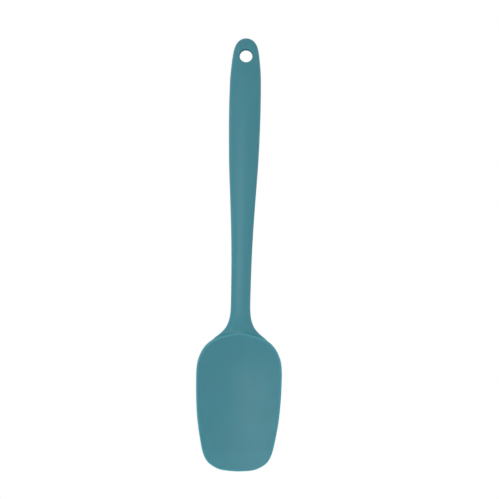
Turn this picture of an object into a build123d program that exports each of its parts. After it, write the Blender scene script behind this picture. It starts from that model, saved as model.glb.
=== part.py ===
from build123d import *
import os

os.makedirs("parts", exist_ok=True)

# Spoon spatula, in millimetres. It lies on its back with the dish up. Y runs from the
# blade's tip to the hanging end, and Z = 0 is the table under the belly and the grip.

# Plan of the whole tool
overall_length = 270
blade_length = 85.9
blade_width = 53.2
flare_length = 16
neck_width = 11.86
grip_width = 19.62
end_length = 25

# Side view of the outer moulding
dish_depth = 6
blade_wall = 4
lip_thickness = 1.8
neck_rise = 3.1
neck_thickness = 9
grip_thickness = 12.5

# Flat land round the dish, and the hanging hole
rim_land = 1.2
hole_diameter = 8
hole_setback = 11.26
hole_round = 0.9

# Silicone over the nylon core, and inside the core's eye
skin_thickness = 1.6
hole_lining = 1.2
core_setback = 4

# Steel spine: strip in the handle, cranked down to a spade in the blade
spine_thickness = 1.5
spine_width = 5
spade_width = 14
spade_flat = 9
crank_rise = 14
crank_dip = 16
crank_radius = 30
anchor_diameter = 4
key_diameter = 2.5
key_count = 4

cut_overrun = 5

# Heights and places that follow from these
rim_height = dish_depth + blade_wall
under_lip = rim_height - lip_thickness
dish_half = blade_width / 2 - rim_land
lip_round = lip_thickness / 3
belly_round = lip_thickness * 2 / 5
dish_round = rim_land / 6
spade_corner = spade_width * 9 / 20
neck_top = rim_height + neck_rise
neck_bottom = neck_top - neck_thickness
neck_middle = neck_top - neck_thickness / 2
grip_middle = grip_thickness / 2
flare_end = blade_length + flare_length
handle_run = overall_length - end_length - flare_end


def along(distance):
    """Y of a place measured from the blade's tip"""
    return distance - overall_length / 2


# Right side of the blade's outline from tip to neck: shares of half its width and of
# its length
outline_shares = (
    (0.290, 0.006),
    (0.429, 0.014),
    (0.672, 0.058),
    (0.790, 0.116),
    (0.880, 0.233),
    (0.963, 0.407),
    (1.000, 0.640),
    (0.978, 0.792),
    (0.858, 0.885),
    (0.713, 0.936),
    (0.545, 0.967),
    (0.301, 0.988),
)

# Sections of the belly across the blade: place as a share of the blade's length, height
# of the crown as a share of the rim's, rise from there to the blade's full width as a
# share of the height under the lip
belly_shares = (
    (-0.058, 0.898, 0.055),
    (0.000, 0.815, 0.137),
    (0.070, 0.692, 0.311),
    (0.151, 0.555, 0.467),
    (0.256, 0.390, 0.650),
    (0.384, 0.220, 0.796),
    (0.524, 0.080, 0.906),
    (0.652, 0.000, 0.980),
    (0.757, 0.010, 0.998),
    (0.850, 0.060, 1.080),
    (0.931, 0.160, 1.511),
    (1.001, 0.260, 1.895),
    (1.071, 0.360, 2.106),
)

# Sections of the dish at the same places: depth of the floor below the rim and rise
# from there to the dish's full width, as shares of the dish's depth
dish_shares = (
    (-0.058, -0.097, 0.058),
    (0.000, 0.025, 0.125),
    (0.070, 0.163, 0.250),
    (0.151, 0.325, 0.401),
    (0.256, 0.517, 0.584),
    (0.384, 0.733, 0.743),
    (0.524, 0.908, 0.868),
    (0.652, 0.997, 0.935),
    (0.757, 0.967, 0.927),
    (0.850, 0.825, 0.943),
    (0.931, 0.517, 1.018),
    (1.001, -0.067, 1.210),
    (1.071, -0.717, 1.336),
)

# How far past its full width a trough's section runs
trough_share = 1.1

# Sections where the neck flares into the blade: place from the rim as a share of the
# flare, half width from neck to blade, top from rim to neck, underside as a share of
# the neck's, side edge from underside to top, fullness of the lower half
flare_shares = (
    (-0.556, 0.5360, -0.450, 0.780, 0.815, 0.62),
    (-0.369, 0.6130, -0.260, 0.610, 0.836, 0.66),
    (-0.244, 0.5375, -0.190, 0.537, 0.861, 0.68),
    (-0.119, 0.4060, -0.160, 0.512, 0.865, 0.68),
    (0.006, 0.2890, -0.110, 0.537, 0.846, 0.67),
    (0.131, 0.1925, 0.100, 0.598, 0.764, 0.64),
    (0.256, 0.1240, 0.310, 0.670, 0.689, 0.61),
    (0.444, 0.0640, 0.580, 0.780, 0.605, 0.58),
    (0.694, 0.0200, 0.840, 0.890, 0.536, 0.56),
    (1.000, 0.0020, 0.984, 0.963, 0.505, 0.55),
)

# Handle from the flare to the rounded end: place, then width and thickness from neck to
# grip, and height of the middle from grip to neck
handle_shares = (
    (0.057, 0.000, 0.00, 1.00),
    (0.197, 0.085, 0.06, 1.00),
    (0.337, 0.245, 0.17, 0.89),
    (0.476, 0.505, 0.37, 0.70),
    (0.616, 0.789, 0.66, 0.40),
    (0.755, 0.946, 0.91, 0.15),
    (0.881, 1.000, 1.00, 0.00),
    (1.000, 0.946, 0.86, -0.04),
)
handle_steps = 16

# Rounded end: where its sections lie, and how much its width and thickness taper before
# the dome closes them
end_shares = (0.20, 0.40, 0.57, 0.71, 0.82, 0.90, 0.955, 0.985, 0.9985)
end_taper_shares = (0.28, 0.42)
end_taper_power = 1.2
end_dome_power = 7.5

# Handle length of a quarter curve that draws a quarter of an ellipse
round_share = 0.5523


def blade_outline(inset, height):
    """Closed plan of the blade, drawn in by an inset, at a height"""
    reach = blade_width / 2 - inset
    run = blade_length - 2 * inset
    near = along(inset)
    right = [(reach * across, near + run * up) for across, up in outline_shares]
    left = [(-across, up) for across, up in reversed(right)]
    with BuildSketch(Plane.XY.offset(height)) as outline:
        with BuildLine():
            Spline((0, near), *right, (0, near + run), *left, periodic=True)
        make_face()
    return outline.sketch


def trough_section(up, half, floor, rise):
    """Space above a shallow trough, across the blade at a share of its length"""
    reach = half * trough_share
    climb = rise * trough_share**2
    side = floor + climb
    lid = side + neck_top
    with BuildSketch(Plane.XZ.offset(-along(blade_length * up))) as section:
        with BuildLine():
            Bezier((-reach, side), (0, floor - climb), (reach, side))
            Polyline((reach, side), (reach, lid), (-reach, lid), (-reach, side))
        make_face()
    return section.sketch


def oval_section(place, half, top, bottom, edge, low_share=round_share):
    """Closed oval across the handle, widest at the height of its side edge"""
    rise = edge + round_share * (top - edge)
    fall = edge - low_share * (edge - bottom)
    with BuildSketch(Plane.XZ.offset(-place)) as section:
        with BuildLine():
            Bezier((half, edge), (half, rise), (round_share * half, top), (0, top))
            Bezier((0, top), (-round_share * half, top), (-half, rise), (-half, edge))
            Bezier((-half, edge), (-half, fall), (-low_share * half, bottom), (0, bottom))
            Bezier((0, bottom), (low_share * half, bottom), (half, fall), (half, edge))
        make_face()
    return section.sketch


def on_curve(rows, up):
    """Row of a table at a place between its rows, on a smooth curve through them"""
    last = len(rows) - 1
    low = max(row for row in range(last) if row == 0 or rows[row][0] <= up)
    before, after = rows[max(low - 1, 0)], rows[min(low + 2, last)]
    start, stop = rows[low], rows[low + 1]
    span = stop[0] - start[0]
    part = (up - start[0]) / span
    values = []
    for a, b, c, d in zip(before, start, stop, after):
        leave = span * (c - a) / (stop[0] - before[0])
        reach = span * (d - b) / (after[0] - start[0])
        square = 3 * (c - b) - 2 * leave - reach
        cube = 2 * (b - c) + leave + reach
        values.append(b + part * leave + part**2 * square + part**3 * cube)
    return values


def flare_sections(inset, first):
    """Ovals from a first place in the flare to the neck, drawn in by an inset"""
    rows = [on_curve(flare_shares, first)]
    rows += [row for row in flare_shares if row[0] > first]
    sections = []
    for up, across, top, low, side, full in rows:
        half = neck_width / 2 * (1 - across) + blade_width / 2 * across - inset
        crown = rim_height + neck_rise * top - inset
        keel = neck_bottom * low + inset
        edge = keel + (crown - keel) * side
        place = along(blade_length + flare_length * up)
        sections.append(oval_section(place, half, crown, keel, edge, full))
    return sections


def handle_oval(across, thick, lift, inset):
    """Half width, half thickness and middle height of the handle"""
    half = (neck_width * (1 - across) + grip_width * across) / 2 - inset
    depth = (neck_thickness * (1 - thick) + grip_thickness * thick) / 2 - inset
    middle = neck_middle * lift + grip_middle * (1 - lift)
    return half, depth, middle


def handle_sections(inset):
    """Ovals from the neck to the hanging end, drawn in by an inset"""
    sections = []
    first = handle_shares[0][0]
    for step in range(handle_steps + 1):
        up, *oval = on_curve(handle_shares, first + (1 - first) * step / handle_steps)
        half, depth, middle = handle_oval(*oval, inset)
        place = along(flare_end + handle_run * up)
        sections.append(oval_section(place, half, middle + depth, middle - depth, middle))
    for up in end_shares:
        dome = (1 - up**end_dome_power) ** 0.5
        narrow, thin = [dome * (1 - fall * up**end_taper_power) for fall in end_taper_shares]
        place = along(overall_length - end_length + (end_length - inset) * up)
        top = middle + depth * thin
        bottom = middle - depth * thin
        sections.append(oval_section(place, half * narrow, top, bottom, middle))
    return sections


# Steel spine: stainless strip, blanked and cranked. Its spade lies in the middle of the
# blade's wall, and its holes key it to the silicone and to the nylon.
eye_place = along(overall_length - hole_setback)
eye_radius = hole_diameter / 2 + hole_lining
spine_end = eye_place - eye_radius - spine_thickness
crank_high = along(blade_length + crank_rise)
crank_low = along(blade_length - crank_dip)
spade_end = crank_low - spade_flat
spade_neck = crank_low + spade_width / 2
key_pitch = (spine_end - crank_high) / key_count

with BuildPart() as steel_spine:
    with BuildSketch(Plane.YZ):
        with BuildLine() as side_view:
            FilletPolyline(
                (spade_end, blade_wall / 2),
                (crank_low, blade_wall / 2),
                (crank_high, neck_middle),
                (spine_end, grip_middle),
                radius=crank_radius,
            )
        trace(side_view.line, line_width=spine_thickness)
    extrude(amount=spade_width, both=True)
    with BuildSketch(Plane.XY):
        with BuildLine():
            Polyline(
                (spade_width / 2, spade_end),
                (spade_width / 2, spade_neck),
                (spine_width / 2, crank_high),
                (spine_width / 2, spine_end),
                (-spine_width / 2, spine_end),
                (-spine_width / 2, crank_high),
                (-spade_width / 2, spade_neck),
                (-spade_width / 2, spade_end),
                close=True,
            )
        make_face()
        corners = vertices().group_by(Axis.Y)
        fillet(corners[0], spade_corner)
        fillet(corners[1] + corners[2], spade_width)
        with Locations((0, spade_end + spade_width / 2), (0, spade_end + spade_width)):
            Circle(anchor_diameter / 2, mode=Mode.SUBTRACT)
        with Locations((0, (crank_high + spine_end) / 2)):
            with GridLocations(0, key_pitch, 1, key_count):
                Circle(key_diameter / 2, mode=Mode.SUBTRACT)
    extrude(amount=neck_top, mode=Mode.INTERSECT)
steel_spine.part.label = "steel_spine"
export_step(steel_spine.part, "parts/steel_spine.step")

# Outside of the nylon core: the handle's form drawn in by the skin's thickness, with an
# eye round the hanging hole
with BuildPart() as core_form:
    core_start = core_setback / flare_length
    loft(flare_sections(skin_thickness, core_start) + handle_sections(skin_thickness))
    with BuildSketch(Plane.XY):
        with Locations((0, eye_place)):
            Circle(eye_radius)
    extrude(amount=neck_top, mode=Mode.SUBTRACT)

# Nylon core: glass-filled nylon, moulded round the spine
with BuildPart() as nylon_core:
    add(core_form.part)
    add(steel_spine.part, mode=Mode.SUBTRACT)
nylon_core.part.label = "nylon_core"
export_step(nylon_core.part, "parts/nylon_core.step")

# Outside of the blade: the belly under the flat rim, with its lip rounded off
with BuildPart() as blade_form:
    add(blade_outline(0, -cut_overrun))
    extrude(amount=rim_height + cut_overrun)
    loft(
        [
            trough_section(up, blade_width / 2, rim_height * height, under_lip * rise)
            for up, height, rise in belly_shares
        ],
        mode=Mode.INTERSECT,
    )
    fillet(blade_form.faces().sort_by(Axis.Z)[-1].edges(), lip_round)
    rings = blade_form.edges().sort_by(SortBy.LENGTH)[-3:]
    fillet(rings.sort_by(Axis.Z)[0], belly_round)

# Space inside the dish, up past the neck
with BuildPart() as dish_form:
    add(blade_outline(rim_land, 0))
    extrude(amount=neck_top + cut_overrun)
    loft(
        [
            trough_section(up, dish_half, rim_height - dish_depth * depth, dish_depth * rise)
            for up, depth, rise in dish_shares
        ],
        mode=Mode.INTERSECT,
    )

# Outside of the handle, from where it leaves the blade's wall to the hanging end
with BuildPart() as stem_form:
    loft(flare_sections(0, flare_shares[0][0]) + handle_sections(0))
    add(dish_form.part, mode=Mode.SUBTRACT)

# Silicone skin: one seamless moulding over the core and the spine, solid in the blade
# and lining the hanging hole
with BuildPart() as silicone_skin:
    add(blade_form.part)
    add(dish_form.part, mode=Mode.SUBTRACT)
    rim_face = silicone_skin.faces().filter_by(Plane.XY).sort_by(Axis.Z)[-1]
    fillet(rim_face.inner_wires()[0].edges(), dish_round)
    add(stem_form.part)
    with BuildSketch(Plane.XY):
        with Locations((0, eye_place)):
            Circle(hole_diameter / 2)
    extrude(amount=neck_top + cut_overrun, mode=Mode.SUBTRACT)
    bore = silicone_skin.faces().filter_by(GeomType.CYLINDER).sort_by(Axis.Y)[-1]
    fillet(bore.edges().filter_by(GeomType.LINE, reverse=True), hole_round)
    add(core_form.part, mode=Mode.SUBTRACT)
    add(steel_spine.part, mode=Mode.SUBTRACT)
silicone_skin.part.label = "silicone_skin"
export_step(silicone_skin.part, "parts/silicone_skin.step")
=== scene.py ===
import math

import bmesh
import bpy
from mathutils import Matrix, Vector


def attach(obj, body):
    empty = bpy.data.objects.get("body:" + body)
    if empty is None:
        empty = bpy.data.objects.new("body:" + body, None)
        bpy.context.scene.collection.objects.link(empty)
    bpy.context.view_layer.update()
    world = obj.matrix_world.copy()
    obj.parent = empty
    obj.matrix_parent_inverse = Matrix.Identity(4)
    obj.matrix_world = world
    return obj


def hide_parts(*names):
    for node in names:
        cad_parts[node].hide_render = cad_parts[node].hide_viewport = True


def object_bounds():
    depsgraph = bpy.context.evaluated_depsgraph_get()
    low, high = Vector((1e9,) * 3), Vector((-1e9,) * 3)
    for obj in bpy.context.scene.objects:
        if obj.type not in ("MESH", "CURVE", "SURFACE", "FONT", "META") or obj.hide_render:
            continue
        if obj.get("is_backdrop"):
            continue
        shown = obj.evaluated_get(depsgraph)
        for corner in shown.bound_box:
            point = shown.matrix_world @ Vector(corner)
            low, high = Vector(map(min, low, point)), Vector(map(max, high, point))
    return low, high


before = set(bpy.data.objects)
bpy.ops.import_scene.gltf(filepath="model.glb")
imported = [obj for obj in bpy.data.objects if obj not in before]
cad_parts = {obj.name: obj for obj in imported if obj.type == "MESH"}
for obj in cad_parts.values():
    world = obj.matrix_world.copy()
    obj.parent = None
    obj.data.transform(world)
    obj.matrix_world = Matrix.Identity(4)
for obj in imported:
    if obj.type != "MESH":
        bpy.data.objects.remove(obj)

cad_low, cad_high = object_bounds()


# Table: a plain white surface, which the tool lies on with its belly and its grip. It is
# evenly white to the camera and in reflections, throws soft light back at the tool, and
# isn't there for a camera that looks up from below.

# Sizes of the table, the light and the camera are in metres, as Blender's are
table_half = 1.5


def linear(hex_colour):
    """An sRGB hex colour as the linear RGBA that shaders take."""
    channels = [int(hex_colour[i:i + 2], 16) / 255 for i in (1, 3, 5)]
    toned = [c / 12.92 if c <= 0.04045 else ((c + 0.055) / 1.055) ** 2.4 for c in channels]
    return (*toned, 1.0)


def node(tree, kind, links=(), **settings):
    """Adds a shader node. Settings name its properties or inputs, and links its inputs.

    A link comes from a socket, or from the first output of a node.
    """
    added = tree.nodes.new(kind)
    for name, value in settings.items():
        if hasattr(added, name):
            setattr(added, name, value)
        else:
            added.inputs[name.replace("_", " ")].default_value = value
    for socket, source in dict(links).items():
        source = source.outputs[0] if hasattr(source, "outputs") else source
        tree.links.new(source, added.inputs[socket])
    return added


def empty_material(name):
    """A new material and its node tree, with nothing in it."""
    material = bpy.data.materials.new(name)
    material.use_nodes = True
    material.node_tree.nodes.clear()
    return material, material.node_tree


def shown_ray(tree):
    """1 for the rays that show the backdrop itself: the camera's, reflected and refracted."""
    path = node(tree, "ShaderNodeLightPath")
    shown = path.outputs["Is Camera Ray"]
    for kind in ("Is Glossy Ray", "Is Transmission Ray"):
        shown = node(tree, "ShaderNodeMath", {0: shown, 1: path.outputs[kind]}, operation="MAXIMUM")
    return shown


def table_material():
    """Matt white sheet: flat white to the eye, with no shadow on it."""
    material, tree = empty_material("matt_white_sheet")
    paper = node(tree, "ShaderNodeBsdfDiffuse", Color=linear("#FFFFFF"))
    glow = node(tree, "ShaderNodeEmission", Color=linear("#FFFFFF"), Strength=1.0)
    white = node(tree, "ShaderNodeMixShader", {0: shown_ray(tree), 1: paper, 2: glow})
    clear = node(tree, "ShaderNodeBsdfTransparent")
    from_below = node(tree, "ShaderNodeNewGeometry").outputs["Backfacing"]
    sheet = node(tree, "ShaderNodeMixShader", {0: from_below, 1: white, 2: clear})
    node(tree, "ShaderNodeOutputMaterial", {"Surface": sheet})
    return material


mesh = bpy.data.meshes.new("table")
mesh.from_pydata([(x * table_half, y * table_half, cad_low[2])
                  for x, y in ((-1, -1), (1, -1), (1, 1), (-1, 1))], [], [(0, 1, 2, 3)])
mesh.materials.append(table_material())
table = bpy.data.objects.new("table", mesh)
bpy.context.scene.collection.objects.link(table)
table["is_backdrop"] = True


# Light: one soft box above the middle of the tool, a little to the left and towards the
# blade, which gives the handle its long highlight. A white room lights every side evenly.
box_angle = math.radians(16)
box_distance = 0.33
box_shift = Vector((0, -0.02, 0))
box_size = 0.20
box_power = 0.27
room_light = 0.75

centre = (Vector(cad_low) + Vector(cad_high)) / 2
box_direction = Vector((-math.sin(box_angle), 0, math.cos(box_angle)))
light = bpy.data.lights.new("soft_box", "AREA")
light.shape = "SQUARE"
light.size = box_size
light.energy = box_power
soft_box = bpy.data.objects.new("soft_box", light)
soft_box.location = centre + box_shift + box_direction * box_distance
soft_box.rotation_euler = box_direction.to_track_quat("Z", "Y").to_euler()
bpy.context.scene.collection.objects.link(soft_box)

room = bpy.data.worlds.new("white_room")
room.use_nodes = True
tree = room.node_tree
tree.nodes.clear()
walls = node(tree, "ShaderNodeBackground", Color=linear("#FFFFFF"), Strength=room_light)
backdrop = node(tree, "ShaderNodeBackground", Color=linear("#FFFFFF"), Strength=1.0)
mix = node(tree, "ShaderNodeMixShader", {0: shown_ray(tree), 1: walls, 2: backdrop})
node(tree, "ShaderNodeOutputWorld", {"Surface": mix})
bpy.context.scene.world = room


# Steel spine: a stainless spring steel strip, blanked from rolled stock, with its end
# cranked down and spread into a spade. It lies inside the moulding, so the CAD's own shape
# is kept and only the steel's finish is set here.
MM = 0.001

# The marks of the rolls are finer than this, and are drawn coarser so that they show
grain_width = 0.06
grain_length = 8
grain_depth = 0.002

# Noise keeps mostly to the middle half of its range
noise_range = {"From_Min": 0.25, "From_Max": 0.75}


def pattern(tree, *size):
    """Noise from 0 to 1 whose blotches are size millimetres along X, Y and Z."""
    place = node(tree, "ShaderNodeTexCoord").outputs["Object"]
    scaled = node(tree, "ShaderNodeMapping", {"Vector": place}, Scale=[1 / (s * MM) for s in size])
    return node(tree, "ShaderNodeTexNoise", {"Vector": scaled}, Scale=1).outputs["Fac"]


def steel_material():
    """Rolled stainless steel: the grain of the rolls streaks its shine along the strip."""
    material, tree = empty_material("rolled_stainless_steel")
    grain = pattern(tree, grain_width, grain_length, grain_width)
    lightness = node(tree, "ShaderNodeMapRange", {"Value": grain}, **noise_range,
                     To_Min=0.96, To_Max=1.04)
    colour = node(tree, "ShaderNodeHueSaturation", {"Value": lightness}, Color=linear("#C3C4C2"))
    roughness = node(tree, "ShaderNodeMapRange", {"Value": grain}, **noise_range,
                     To_Min=0.24, To_Max=0.36)
    relief = node(tree, "ShaderNodeBump", {"Height": grain}, Distance=grain_depth * MM)
    shader = node(tree, "ShaderNodeBsdfPrincipled",
                  {"Base Color": colour, "Roughness": roughness, "Normal": relief}, Metallic=1.0)
    node(tree, "ShaderNodeOutputMaterial", {"Surface": shader})
    return material


bpy.data.objects["steel_spine"].material_slots[0].material = steel_material()


# Nylon core: a black glass-filled nylon handle, injection moulded round the strip, with an
# eye for the hanging hole. The silicone hides it, so it keeps the CAD's shape too.

# Its fibres are a hundredth of a millimetre thick, and are drawn coarser so that they show
fibre_width = 0.15
fibre_length = 0.9
fibre_depth = 0.008
flow_patch = 6


def nylon_material():
    """Moulded glass-filled nylon: a dull black with a grey bloom of fibre at the surface."""
    material, tree = empty_material("glass_filled_nylon")
    fibre = pattern(tree, fibre_width, fibre_length, fibre_width)
    flow = pattern(tree, flow_patch, flow_patch, flow_patch)
    lightness = node(tree, "ShaderNodeMapRange", {"Value": fibre}, **noise_range,
                     To_Min=0.75, To_Max=1.25)
    colour = node(tree, "ShaderNodeHueSaturation", {"Value": lightness}, Color=linear("#262627"))
    roughness = node(tree, "ShaderNodeMapRange", {"Value": flow}, **noise_range,
                     To_Min=0.50, To_Max=0.66)
    relief = node(tree, "ShaderNodeBump", {"Height": fibre}, Distance=fibre_depth * MM)
    shader = node(tree, "ShaderNodeBsdfPrincipled",
                  {"Base Color": colour, "Roughness": roughness, "Normal": relief}, IOR=1.53)
    node(tree, "ShaderNodeOutputMaterial", {"Surface": shader})
    return material


bpy.data.objects["nylon_core"].material_slots[0].material = nylon_material()


# Silicone skin: food-grade silicone rubber, moulded in one shot over the nylon handle. It
# is the whole outside of the tool: the dished blade with its beaded lip, the neck, the grip
# and the lining of the hanging hole, with no seam between them. Sizes are in millimetres.
overall_length = 270
blade_length = 85.9
blade_width = 53.4
flare_length = 16
neck_width = 12.1
grip_width = 19.9
end_length = 25
rim_height = 10
lip_thickness = 1.8
dish_depth = 6
neck_rise = 3.1
neck_thickness = 9
grip_thickness = 12.5
rim_land = 1.2
hole_diameter = 8
hole_setback = 11.3
hole_round = 0.7

neck_top = rim_height + neck_rise
neck_bottom = neck_top - neck_thickness
neck_middle = neck_top - neck_thickness / 2
grip_middle = grip_thickness / 2
flare_end = blade_length + flare_length
handle_run = overall_length - end_length - flare_end
hole_run = overall_length - hole_setback

# Right side of the blade's outline from tip to neck: shares of half its width and length
outline_shares = (
    (0.290, 0.006), (0.429, 0.014), (0.672, 0.058), (0.790, 0.116), (0.880, 0.233),
    (0.963, 0.407), (1.000, 0.640), (0.978, 0.792), (0.858, 0.885), (0.713, 0.936),
    (0.545, 0.967), (0.301, 0.988),
)

# Along the blade: place, crown of the belly and its rise to the side, depth of the dish
# and its rise to the side
blade_shares = (
    (-0.058, 0.898, 0.055, -0.097, 0.058),
    (0.000, 0.815, 0.137, 0.025, 0.125),
    (0.070, 0.692, 0.311, 0.215, 0.340),
    (0.151, 0.555, 0.467, 0.404, 0.500),
    (0.256, 0.390, 0.650, 0.537, 0.619),
    (0.384, 0.220, 0.796, 0.733, 0.753),
    (0.524, 0.080, 0.906, 0.875, 0.857),
    (0.652, 0.000, 0.980, 0.979, 0.947),
    (0.757, 0.010, 0.998, 0.955, 0.942),
    (0.850, 0.060, 1.080, 0.761, 0.938),
    (0.931, 0.160, 1.511, 0.436, 1.008),
    (1.001, 0.260, 1.895, -0.067, 1.210),
    (1.071, 0.360, 2.106, -0.717, 1.336),
)

# How much of the dish's rise goes with the square of the distance from the middle, and
# how much is taken off with its fourth power, which eases the sides
dish_square_share = 1.1
dish_ease_share = 0.1

# Along the flare: place, half width from neck to blade, top from rim to neck, underside,
# side edge from underside to top, fullness of the lower half
flare_shares = (
    (-0.369, 0.6130, -0.30, 0.610, 0.70, 0.66),
    (-0.244, 0.5375, -0.20, 0.537, 0.70, 0.68),
    (-0.119, 0.4060, -0.15, 0.512, 0.74, 0.68),
    (0.006, 0.2890, -0.10, 0.537, 0.68, 0.67),
    (0.131, 0.1925, 0.02, 0.598, 0.56, 0.64),
    (0.256, 0.1240, 0.26, 0.670, 0.46, 0.61),
    (0.444, 0.0640, 0.60, 0.780, 0.42, 0.58),
    (0.694, 0.0200, 0.90, 0.890, 0.44, 0.56),
    (1.000, 0.0020, 0.984, 0.963, 0.505, 0.55),
)

# The flare's top is a ridge in line with the neck, between two thinner webs
ridge_half = 9.5
ridge_power = 1.5
web_power = 1.5

# Along the handle: place, width and thickness from neck to grip, height of its middle
handle_shares = (
    (0.000, 0.002, 0.000, 1.00),
    (0.197, 0.085, 0.060, 1.00),
    (0.337, 0.245, 0.170, 0.89),
    (0.476, 0.505, 0.370, 0.70),
    (0.616, 0.789, 0.660, 0.40),
    (0.755, 0.946, 0.910, 0.15),
    (0.881, 1.000, 1.000, 0.00),
    (1.000, 0.946, 0.860, -0.04),
)
end_taper_shares = (0.28, 0.42)
end_taper_power = 1.2
end_dome_power = 7.5
round_share = 0.5523


def on_curve(rows, place):
    """A row of a table at a place, on a smooth curve through its rows."""
    last = len(rows) - 1
    low = max(i for i in range(last) if i == 0 or rows[i][0] <= place)
    picked = (max(low - 1, 0), low, low + 1, min(low + 2, last))
    before, start, stop, after = (rows[i] for i in picked)
    span = stop[0] - start[0]
    t = (place - start[0]) / span
    values = []
    for a, b, c, d in zip(before, start, stop, after):
        leave = span * (c - a) / (stop[0] - before[0])
        reach = span * (d - b) / (after[0] - start[0])
        values.append(b + t * leave + t**2 * (3 * (c - b) - 2 * leave - reach)
                      + t**3 * (2 * (b - c) + leave + reach))
    return values


def between(low, high, share):
    """The value at a share of the way from low to high."""
    return low + (high - low) * share


def smooth_step(share):
    """A share from 0 to 1 that starts and stops gently."""
    share = min(max(share, 0), 1)
    return share * share * (3 - 2 * share)


def belly(x, run):
    """Height of the blade's underside."""
    _, crown, rise, _, _ = on_curve(blade_shares, run / blade_length)
    return rim_height * crown + (rim_height - lip_thickness) * rise * (2 * x / blade_width) ** 2


def dish(x, run):
    """Height of the dish's floor."""
    _, _, _, depth, rise = on_curve(blade_shares, run / blade_length)
    across = x / (blade_width / 2 - rim_land)
    climb = dish_square_share * across**2 - dish_ease_share * across**4
    return rim_height + dish_depth * (rise * climb - depth)


def stem(run):
    """Half width, top, underside, side edge and lower fullness of the neck and handle."""
    if run < flare_end:
        _, wide, top, low, side, full = on_curve(flare_shares, (run - blade_length) / flare_length)
        half = between(neck_width, blade_width, wide) / 2
        top = rim_height + neck_rise * top
        low = neck_bottom * low
        return half, top, low, between(low, top, side), full
    _, wide, thick, lift = on_curve(handle_shares, min((run - flare_end) / handle_run, 1))
    half = between(neck_width, grip_width, wide) / 2
    depth = between(neck_thickness, grip_thickness, thick) / 2
    middle = between(grip_middle, neck_middle, lift)
    past = max((run - overall_length + end_length) / end_length, 0)
    dome = math.sqrt(1 - past**end_dome_power)
    narrow, thin = (dome * (1 - fall * past**end_taper_power) for fall in end_taper_shares)
    half, depth = half * narrow, depth * thin
    return half, middle + depth, middle - depth, middle, round_share


def round_power(full):
    """Power of the rounded half whose middle lies where a curve of that fullness has it."""
    curve_middle = (1 + 3 + 3 * full) / 8
    return math.log(1 / 2) / math.log(curve_middle)


def stem_height(across, run, upper):
    """Height of the stem's top or underside at a share of its half width."""
    half, top, low, edge, full = stem(run)
    across = min(abs(across), 1)
    if upper:
        web = min(neck_width / 2 / half, 1) ** web_power if run < flare_end else 1
        ridge = max(1 - (across * half / ridge_half) ** 2, 0) ** ridge_power
        return edge + (top - edge) * (web * math.sqrt(1 - across**2) + (1 - web) * ridge)
    power = round_power(full)
    return edge - (edge - low) * (1 - across**power) ** (1 / power)


# The blade's closed outline, walked from the neck round by the right side, at equal steps.
# It laps itself by two points at each end, so that the curve closes smoothly.
spokes = 96
corner = 7
walk_per_spoke = 20
lap = 2
half_outline = [(blade_width / 2 * x, blade_length * y) for x, y in outline_shares]
other_half = [(-x, y) for x, y in half_outline]
outline = [(0, blade_length), *reversed(half_outline), (0, 0), *other_half]
wrapped = outline[-lap:] + outline + outline[:lap + 1]
reached, rows = 0, []
for here, there in zip(wrapped, wrapped[1:] + wrapped[:1]):
    rows.append((reached, *here))
    reached += math.dist(here, there)
first, round_trip = rows[lap][0], rows[lap + len(outline)][0] - rows[lap][0]
fine = walk_per_spoke * spokes
walk = [on_curve(rows, first + round_trip * i / fine)[1:] for i in range(fine + 1)]
lengths = [0]
for here, there in zip(walk, walk[1:]):
    lengths.append(lengths[-1] + math.dist(here, there))
rim = []
for i in range(spokes):
    target = lengths[-1] * i / spokes
    j = max(k for k in range(fine) if lengths[k] <= target)
    share = (target - lengths[j]) / (lengths[j + 1] - lengths[j])
    rim.append(Vector(between(a, b, share) for a, b in zip(walk[j], walk[j + 1])))
inward = []
for i in range(spokes):
    way = rim[(i + 1) % spokes] - rim[i - 1]
    inward.append(Vector((way.y, -way.x)).normalized())

skin_points = []
skin_faces = []


def point(x, run, height):
    """Adds a point of the skin, at a distance across and one along from the blade's tip."""
    skin_points.append((x * MM, (run - overall_length / 2) * MM, height * MM))
    return len(skin_points) - 1


def point_between(low, high, share, push=0):
    """Adds a point between two others, pushed towards the hanging end."""
    x, y, z = (between(a, b, share) for a, b in zip(skin_points[low], skin_points[high]))
    skin_points.append((x, y + push * MM, z))
    return len(skin_points) - 1


def plan(index):
    """A point's distances across and along, in millimetres."""
    x, y, _ = skin_points[index]
    return Vector((x / MM, y / MM + overall_length / 2))


def quads(low, high, closed=False):
    """Faces between two rows of points."""
    count = len(low) if closed else len(low) - 1
    for i in range(count):
        j = (i + 1) % len(low)
        skin_faces.append((low[i], low[j], high[j], high[i]))


def loop_at(inset, height):
    """A closed row of points at an inset from the outline, at the height of each place."""
    row = []
    for start, way in zip(rim, inward):
        spot = start + way * inset
        row.append(point(spot.x, spot.y, height(spot.x, spot.y)))
    return row


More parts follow.
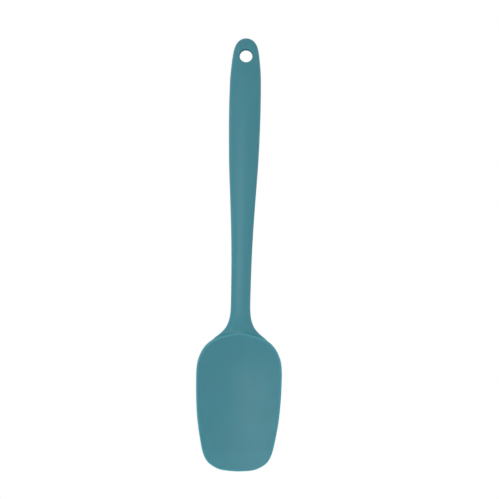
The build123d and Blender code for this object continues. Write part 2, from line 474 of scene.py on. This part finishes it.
def fill(row, height):
    """Closes a row of spokes with a grid of points."""
    half = corner + 1
    wide, long = 2 * half, spokes // 2 - 2 * half
    places = [plan(i) for i in row]
    near = [(a - half) % spokes for a in range(wide + 1)]
    far = [half + long + wide - a for a in range(wide + 1)]
    right = [half + b for b in range(long + 1)]
    left = [(-half - b) % spokes for b in range(long + 1)]
    grid = []
    for b in range(long + 1):
        line = []
        for a in range(wide + 1):
            u, v = a / wide, b / long
            on_edge = {0: near[a], long: far[a]}.get(b, {0: left[b], wide: right[b]}.get(a))
            if on_edge is not None:
                line.append(row[on_edge])
                continue
            spot = (places[near[a]] * (1 - v) + places[far[a]] * v
                    + places[left[b]] * (1 - u) + places[right[b]] * u
                    - places[near[0]] * (1 - u) * (1 - v) - places[near[wide]] * u * (1 - v)
                    - places[far[0]] * (1 - u) * v - places[far[wide]] * u * v)
            line.append(point(spot.x, spot.y, height(spot.x, spot.y)))
        grid.append(line)
    for low, high in zip(grid, grid[1:]):
        quads(low, high)


# The belly alone makes the underside up to here, and then runs into the stem
belly_end = 78


def under(x, run):
    """Height of the underside where the belly runs into the stem."""
    low = belly(x, run)
    if run < belly_end:
        return low
    half = stem(run)[0]
    return min(low, stem_height(x / half, run, False)) if abs(x) < half else low


# Blade: loops from the middle of the dish out over the bead, and from the lip in under the
# belly. A bead's row is its inset and its share of the way from the dish up to the rim.
dish_insets = (7.6, 5.4, 3.7, 2.5)
bead_rows = ((1.35, 0.1), (0.95, 0.6), (0.72, 0.92), (0.45, 1.0), (0.2, 0.9))
belly_insets = (0.4, 1.1, 2.2, 3.8, 5.8, 8.2)


def bead(share):
    """The height of the bead at a share of the way from the dish up to the rim."""
    return lambda x, run: between(dish(x, run), rim_height, share)


top_rows = [loop_at(inset, dish) for inset in dish_insets]
top_rows += [loop_at(inset, bead(share)) for inset, share in bead_rows]

# Lip: its side wall goes round the blade, and opens at the neck where the stem begins. A
# row is its inset and its fall from the rim. The foot and the tuck stand over the belly.
wall_top_rows = ((0.08, 0.42), (0, 0.95))
wall_foot_height = 1.1
wall_least_fall = 1.3
tuck_inset = 0.14
tuck_height = 0.5
wall = {}
for i in range(corner, spokes - corner + 1):
    drop = rim_height - under(rim[i].x, rim[i].y)
    foot = max(drop - wall_foot_height, wall_least_fall)
    rows = (*wall_top_rows, (0, foot), (tuck_inset, drop - tuck_height))
    wall[i] = [point(*(rim[i] + inward[i] * inset), rim_height - fall) for inset, fall in rows]
bottom_rows = [loop_at(inset, under) for inset in belly_insets]
side_count = len(wall[corner])
wall_rows = [[top_rows[-1][i] for i in wall]]
wall_rows += [[wall[i][k] for i in wall] for k in range(side_count)]
wall_rows += [[bottom_rows[0][i] for i in wall]]
for low, high in zip(wall_rows, wall_rows[1:]):
    quads(low, high)
for rows in (top_rows, bottom_rows):
    for low, high in zip(rows, rows[1:]):
        quads(low, high, closed=True)
fill(top_rows[0], dish)
fill(bottom_rows[-1], under)

# Stem: rings from the blade's opening to the hanging end. A ring runs over the top from
# right to left, down the left side, back under, and up the right side.
neck_spokes = [(corner - a) % spokes for a in range(2 * corner + 1)]
mouth_top = [top_rows[-1][i] for i in neck_spokes]
mouth_low = [bottom_rows[0][i] for i in neck_spokes]
mouth = mouth_top + wall[spokes - corner] + mouth_low[::-1] + wall[corner][::-1]
mouth_share = [rim[i].x / rim[corner].x for i in neck_spokes]
top_count = len(mouth_top)
low_start = top_count + side_count

side_angle = math.radians(30)
mouth_top_angle = math.radians(12)
mouth_low_angle = math.radians(6)
morph_length = 12
neck_steps = (0.9, 1.9, 3.0, 4.2, 5.6, 7.2, 9.2, 11.8, 15, 19)
grip_steps = 44
hole_half_rows = 6
row_step = 1.05
end_steps = (4.1, 3.2, 2.4, 1.7, 1.1, 0.65, 0.32, 0.12, 0.03)
stations = [blade_length + step for step in neck_steps]
stations += [between(stations[-1], hole_run - hole_half_rows * row_step, k / grip_steps)
             for k in range(1, grip_steps)]
stations += [hole_run + k * row_step for k in range(-hole_half_rows, hole_half_rows + 1)]
stations += [overall_length - step for step in end_steps]


def ring(run):
    """Points of one ring. Near the blade it bows back to meet the blade's round corner."""
    part = smooth_step((run - blade_length) / morph_length)
    low_angle = between(mouth_low_angle, side_angle, part)
    top_angle = between(mouth_top_angle, side_angle, part)
    bow = (blade_length - rim[corner].y) * (1 - part)
    shares = []
    for k in range(top_count):
        turn = between(side_angle, math.pi - side_angle, k / (top_count - 1))
        shares.append(between(mouth_share[k], math.cos(turn) / math.cos(side_angle), part))

    def spread(share, angle, upper):
        """A point at a share of the half width, turned up or down the side by an angle."""
        here = run - bow * share**2
        across = share * math.cos(angle)
        return point(across * stem(here)[0], here, stem_height(across, here, upper))

    turns = [between(top_angle, -low_angle, k / (side_count + 1)) for k in range(1, side_count + 1)]
    row = [spread(share, top_angle, True) for share in shares]
    row += [spread(-1, turn, turn > 0) for turn in turns]
    row += [spread(share, low_angle, False) for share in reversed(shares)]
    row += [spread(1, turn, turn > 0) for turn in reversed(turns)]
    return row


rings = [mouth] + [ring(run) for run in stations]

# Hanging hole: on each side a square of faces gives way to a round mouth, and a bore joins
# the two mouths
hole_reach = (hole_half_rows + 1 / 2) * row_step
hole_rows = [r for r, run in enumerate(stations, 1) if abs(run - hole_run) < hole_reach]
hole_columns = range(1, top_count - 1)
around_hole = ([(hole_rows[0], c) for c in hole_columns]
               + [(r, hole_columns[-1]) for r in hole_rows[1:]]
               + [(hole_rows[-1], c) for c in reversed(hole_columns[:-1])]
               + [(r, hole_columns[0]) for r in reversed(hole_rows[1:-1])])


def in_hole(r, c):
    """Whether the face after this ring and column gives way to the hole."""
    return hole_rows[0] <= r < hole_rows[-1] and hole_columns[0] <= c < hole_columns[-1]


for r, (low, high) in enumerate(zip(rings, rings[1:])):
    for c in range(len(low)):
        opposite = low_start + top_count - 2 - c
        if in_hole(r, c) or (low_start <= c and in_hole(r, opposite)):
            continue
        d = (c + 1) % len(low)
        skin_faces.append((low[c], low[d], high[d], high[c]))

mouth_turns = (0, 0.25, 0.5, 0.75, 1.0)
bore_steps = 6
outer = hole_diameter / 2 + hole_round


def mouth_row(ways, upper, turn):
    """A row of the mouth's round, a share of the quarter turn from its top into the bore."""
    angle = turn * math.pi / 2
    inset, sink = hole_round * math.sin(angle), hole_round * (1 - math.cos(angle))
    row = []
    for way in ways:
        rest, spot = way.normalized() * outer, way.normalized() * (outer - inset)
        height = stem_height(rest.x / stem(hole_run + rest.y)[0], hole_run + rest.y, upper)
        row.append(point(spot.x, hole_run + spot.y, height - sink if upper else height + sink))
    return row


mouths = []
for upper in (True, False):
    square = [rings[r][c if upper else low_start + top_count - 1 - c] for r, c in around_hole]
    ways = [plan(i) - Vector((0, hole_run)) for i in square]
    halfway = []
    for way in ways:
        spot = way * between(1, outer / way.length, 1 / 2)
        run = hole_run + spot.y
        halfway.append(point(spot.x, run, stem_height(spot.x / stem(run)[0], run, upper)))
    rows = [square, halfway, *(mouth_row(ways, upper, turn) for turn in mouth_turns)]
    for low, high in zip(rows, rows[1:]):
        quads(low, high, closed=True)
    mouths.append(rows[-1])
bore = [mouths[0]]
for k in range(1, bore_steps):
    bore.append([point_between(a, b, k / bore_steps) for a, b in zip(*mouths)])
bore.append(mouths[1])
for low, high in zip(bore, bore[1:]):
    quads(low, high, closed=True)

# The hanging end closes with a small grid inside the last ring, a touch fuller than it
end_bulge = 0.02
end = rings[-1]
top_line = end[:top_count]
low_line = end[low_start:low_start + top_count][::-1]
left_side = end[top_count:low_start]
right_side = end[low_start + top_count:][::-1]
grid = [top_line]
for k in range(side_count):
    share = (k + 1) / (side_count + 1)
    inner = [point_between(top_line[c], low_line[c], share, end_bulge)
             for c in range(1, top_count - 1)]
    grid.append([right_side[k], *inner, left_side[k]])
grid.append(low_line)
for low, high in zip(grid, grid[1:]):
    quads(low, high)

# Finish: how deep light goes in the solid blade and in the handle's thin skin, sizes of
# the uneven patches and of the blasted mould's grit, and the painted shade in the bore.
# The real grit is near 0.05 mm, and is drawn coarser so that it shows from close by.
blade_glow = 3.9
handle_glow = 1.0
tone_patch = 30
sheen_patch = 14
grit = 0.2
grit_depth = 0.003
# Painted shade in the bore: its colour is darkened to this share, fading out past the bore's edge
painted_bore_shade_share = 0.75
bore_fade = (0.1, 0.6)


def silicone_material():
    """Moulded silicone rubber: a soft even sheen from a blasted mould, and light inside the lip.

    The bore of the hanging hole is painted darker, as painted shade where little light
    gets in, and its sheen is taken away, which draws a dark line at the hole's far edge.
    """
    material, tree = empty_material("moulded_silicone_rubber")
    place = node(tree, "ShaderNodeTexCoord").outputs["Object"]
    parts = node(tree, "ShaderNodeSeparateXYZ", {0: place})
    blade_end, handle_start = ((run - overall_length / 2) * MM for run in (blade_length, flare_end))
    glow = node(tree, "ShaderNodeMapRange", {"Value": parts.outputs["Y"]}, From_Min=blade_end,
                From_Max=handle_start, To_Min=blade_glow * MM, To_Max=handle_glow * MM)

    hole_middle = node(tree, "ShaderNodeCombineXYZ", {"Z": parts.outputs["Z"]},
                       Y=(hole_run - overall_length / 2) * MM)
    from_middle = node(tree, "ShaderNodeVectorMath", {0: place, 1: hole_middle},
                       operation="DISTANCE").outputs["Value"]
    bore_edge, mouth_edge = ((hole_diameter / 2 + past) * MM for past in bore_fade)
    out_of_bore = {"From_Min": bore_edge, "From_Max": mouth_edge}
    # Painted shade: inside the bore the colour is darkened, and below its sheen is taken away
    painted_bore_shade = node(tree, "ShaderNodeMapRange", {"Value": from_middle}, **out_of_bore,
                     To_Min=painted_bore_shade_share, To_Max=1)
    shine = node(tree, "ShaderNodeMapRange", {"Value": from_middle}, **out_of_bore,
                 To_Min=0, To_Max=0.5)

    tone_noise = pattern(tree, tone_patch, tone_patch, tone_patch)
    tone = node(tree, "ShaderNodeMapRange", {"Value": tone_noise}, **noise_range,
                To_Min=0.99, To_Max=1.01)
    teal = node(tree, "ShaderNodeHueSaturation", {"Value": tone}, Color=linear("#418C99"))
    colour = node(tree, "ShaderNodeHueSaturation", {"Color": teal, "Value": painted_bore_shade})
    sheen_noise = pattern(tree, sheen_patch, sheen_patch, sheen_patch)
    roughness = node(tree, "ShaderNodeMapRange", {"Value": sheen_noise}, **noise_range,
                     To_Min=0.37, To_Max=0.43)
    relief = node(tree, "ShaderNodeBump", {"Height": pattern(tree, grit, grit, grit)},
                  Distance=grit_depth * MM)
    shader = node(tree, "ShaderNodeBsdfPrincipled",
                  {"Base Color": colour, "Roughness": roughness, "Specular IOR Level": shine,
                   "Subsurface Scale": glow, "Normal": relief},
                  IOR=1.41, Subsurface_Weight=1.0, Subsurface_Radius=(0.6, 1.0, 1.0))
    node(tree, "ShaderNodeOutputMaterial", {"Surface": shader})
    return material


mesh = bpy.data.meshes.new("seamless_skin")
mesh.from_pydata(skin_points, [], skin_faces)
build = bmesh.new()
build.from_mesh(mesh)
bmesh.ops.recalc_face_normals(build, faces=build.faces)
build.to_mesh(mesh)
build.free()
mesh.shade_smooth()
skin = bpy.data.objects.new("seamless_skin", mesh)
bpy.context.scene.collection.objects.link(skin)
rounding = skin.modifiers.new("rounding", "SUBSURF")
rounding.levels = rounding.render_levels = 1
mesh.materials.append(silicone_material())
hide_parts("silicone_skin")
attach(skin, "root")


# Camera: straight above the tool, rolled as the photograph is, and near enough for the far
# wall of the hanging hole to show.
camera_height = 1.3
camera_roll = math.radians(1.26)
frame_width = 0.3112
aim = Vector((0.0048, 0.00334, centre[2]))
data = bpy.data.cameras.new("camera")
data.sensor_width = 36
data.lens = data.sensor_width * camera_height / frame_width
camera = bpy.data.objects.new("camera", data)
camera.location = aim + Vector((0, 0, camera_height))
camera.rotation_euler = (0, 0, camera_roll)
bpy.context.scene.collection.objects.link(camera)
bpy.context.scene.camera = camera
bpy.context.scene.view_settings.view_transform = "Standard"

low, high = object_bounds()
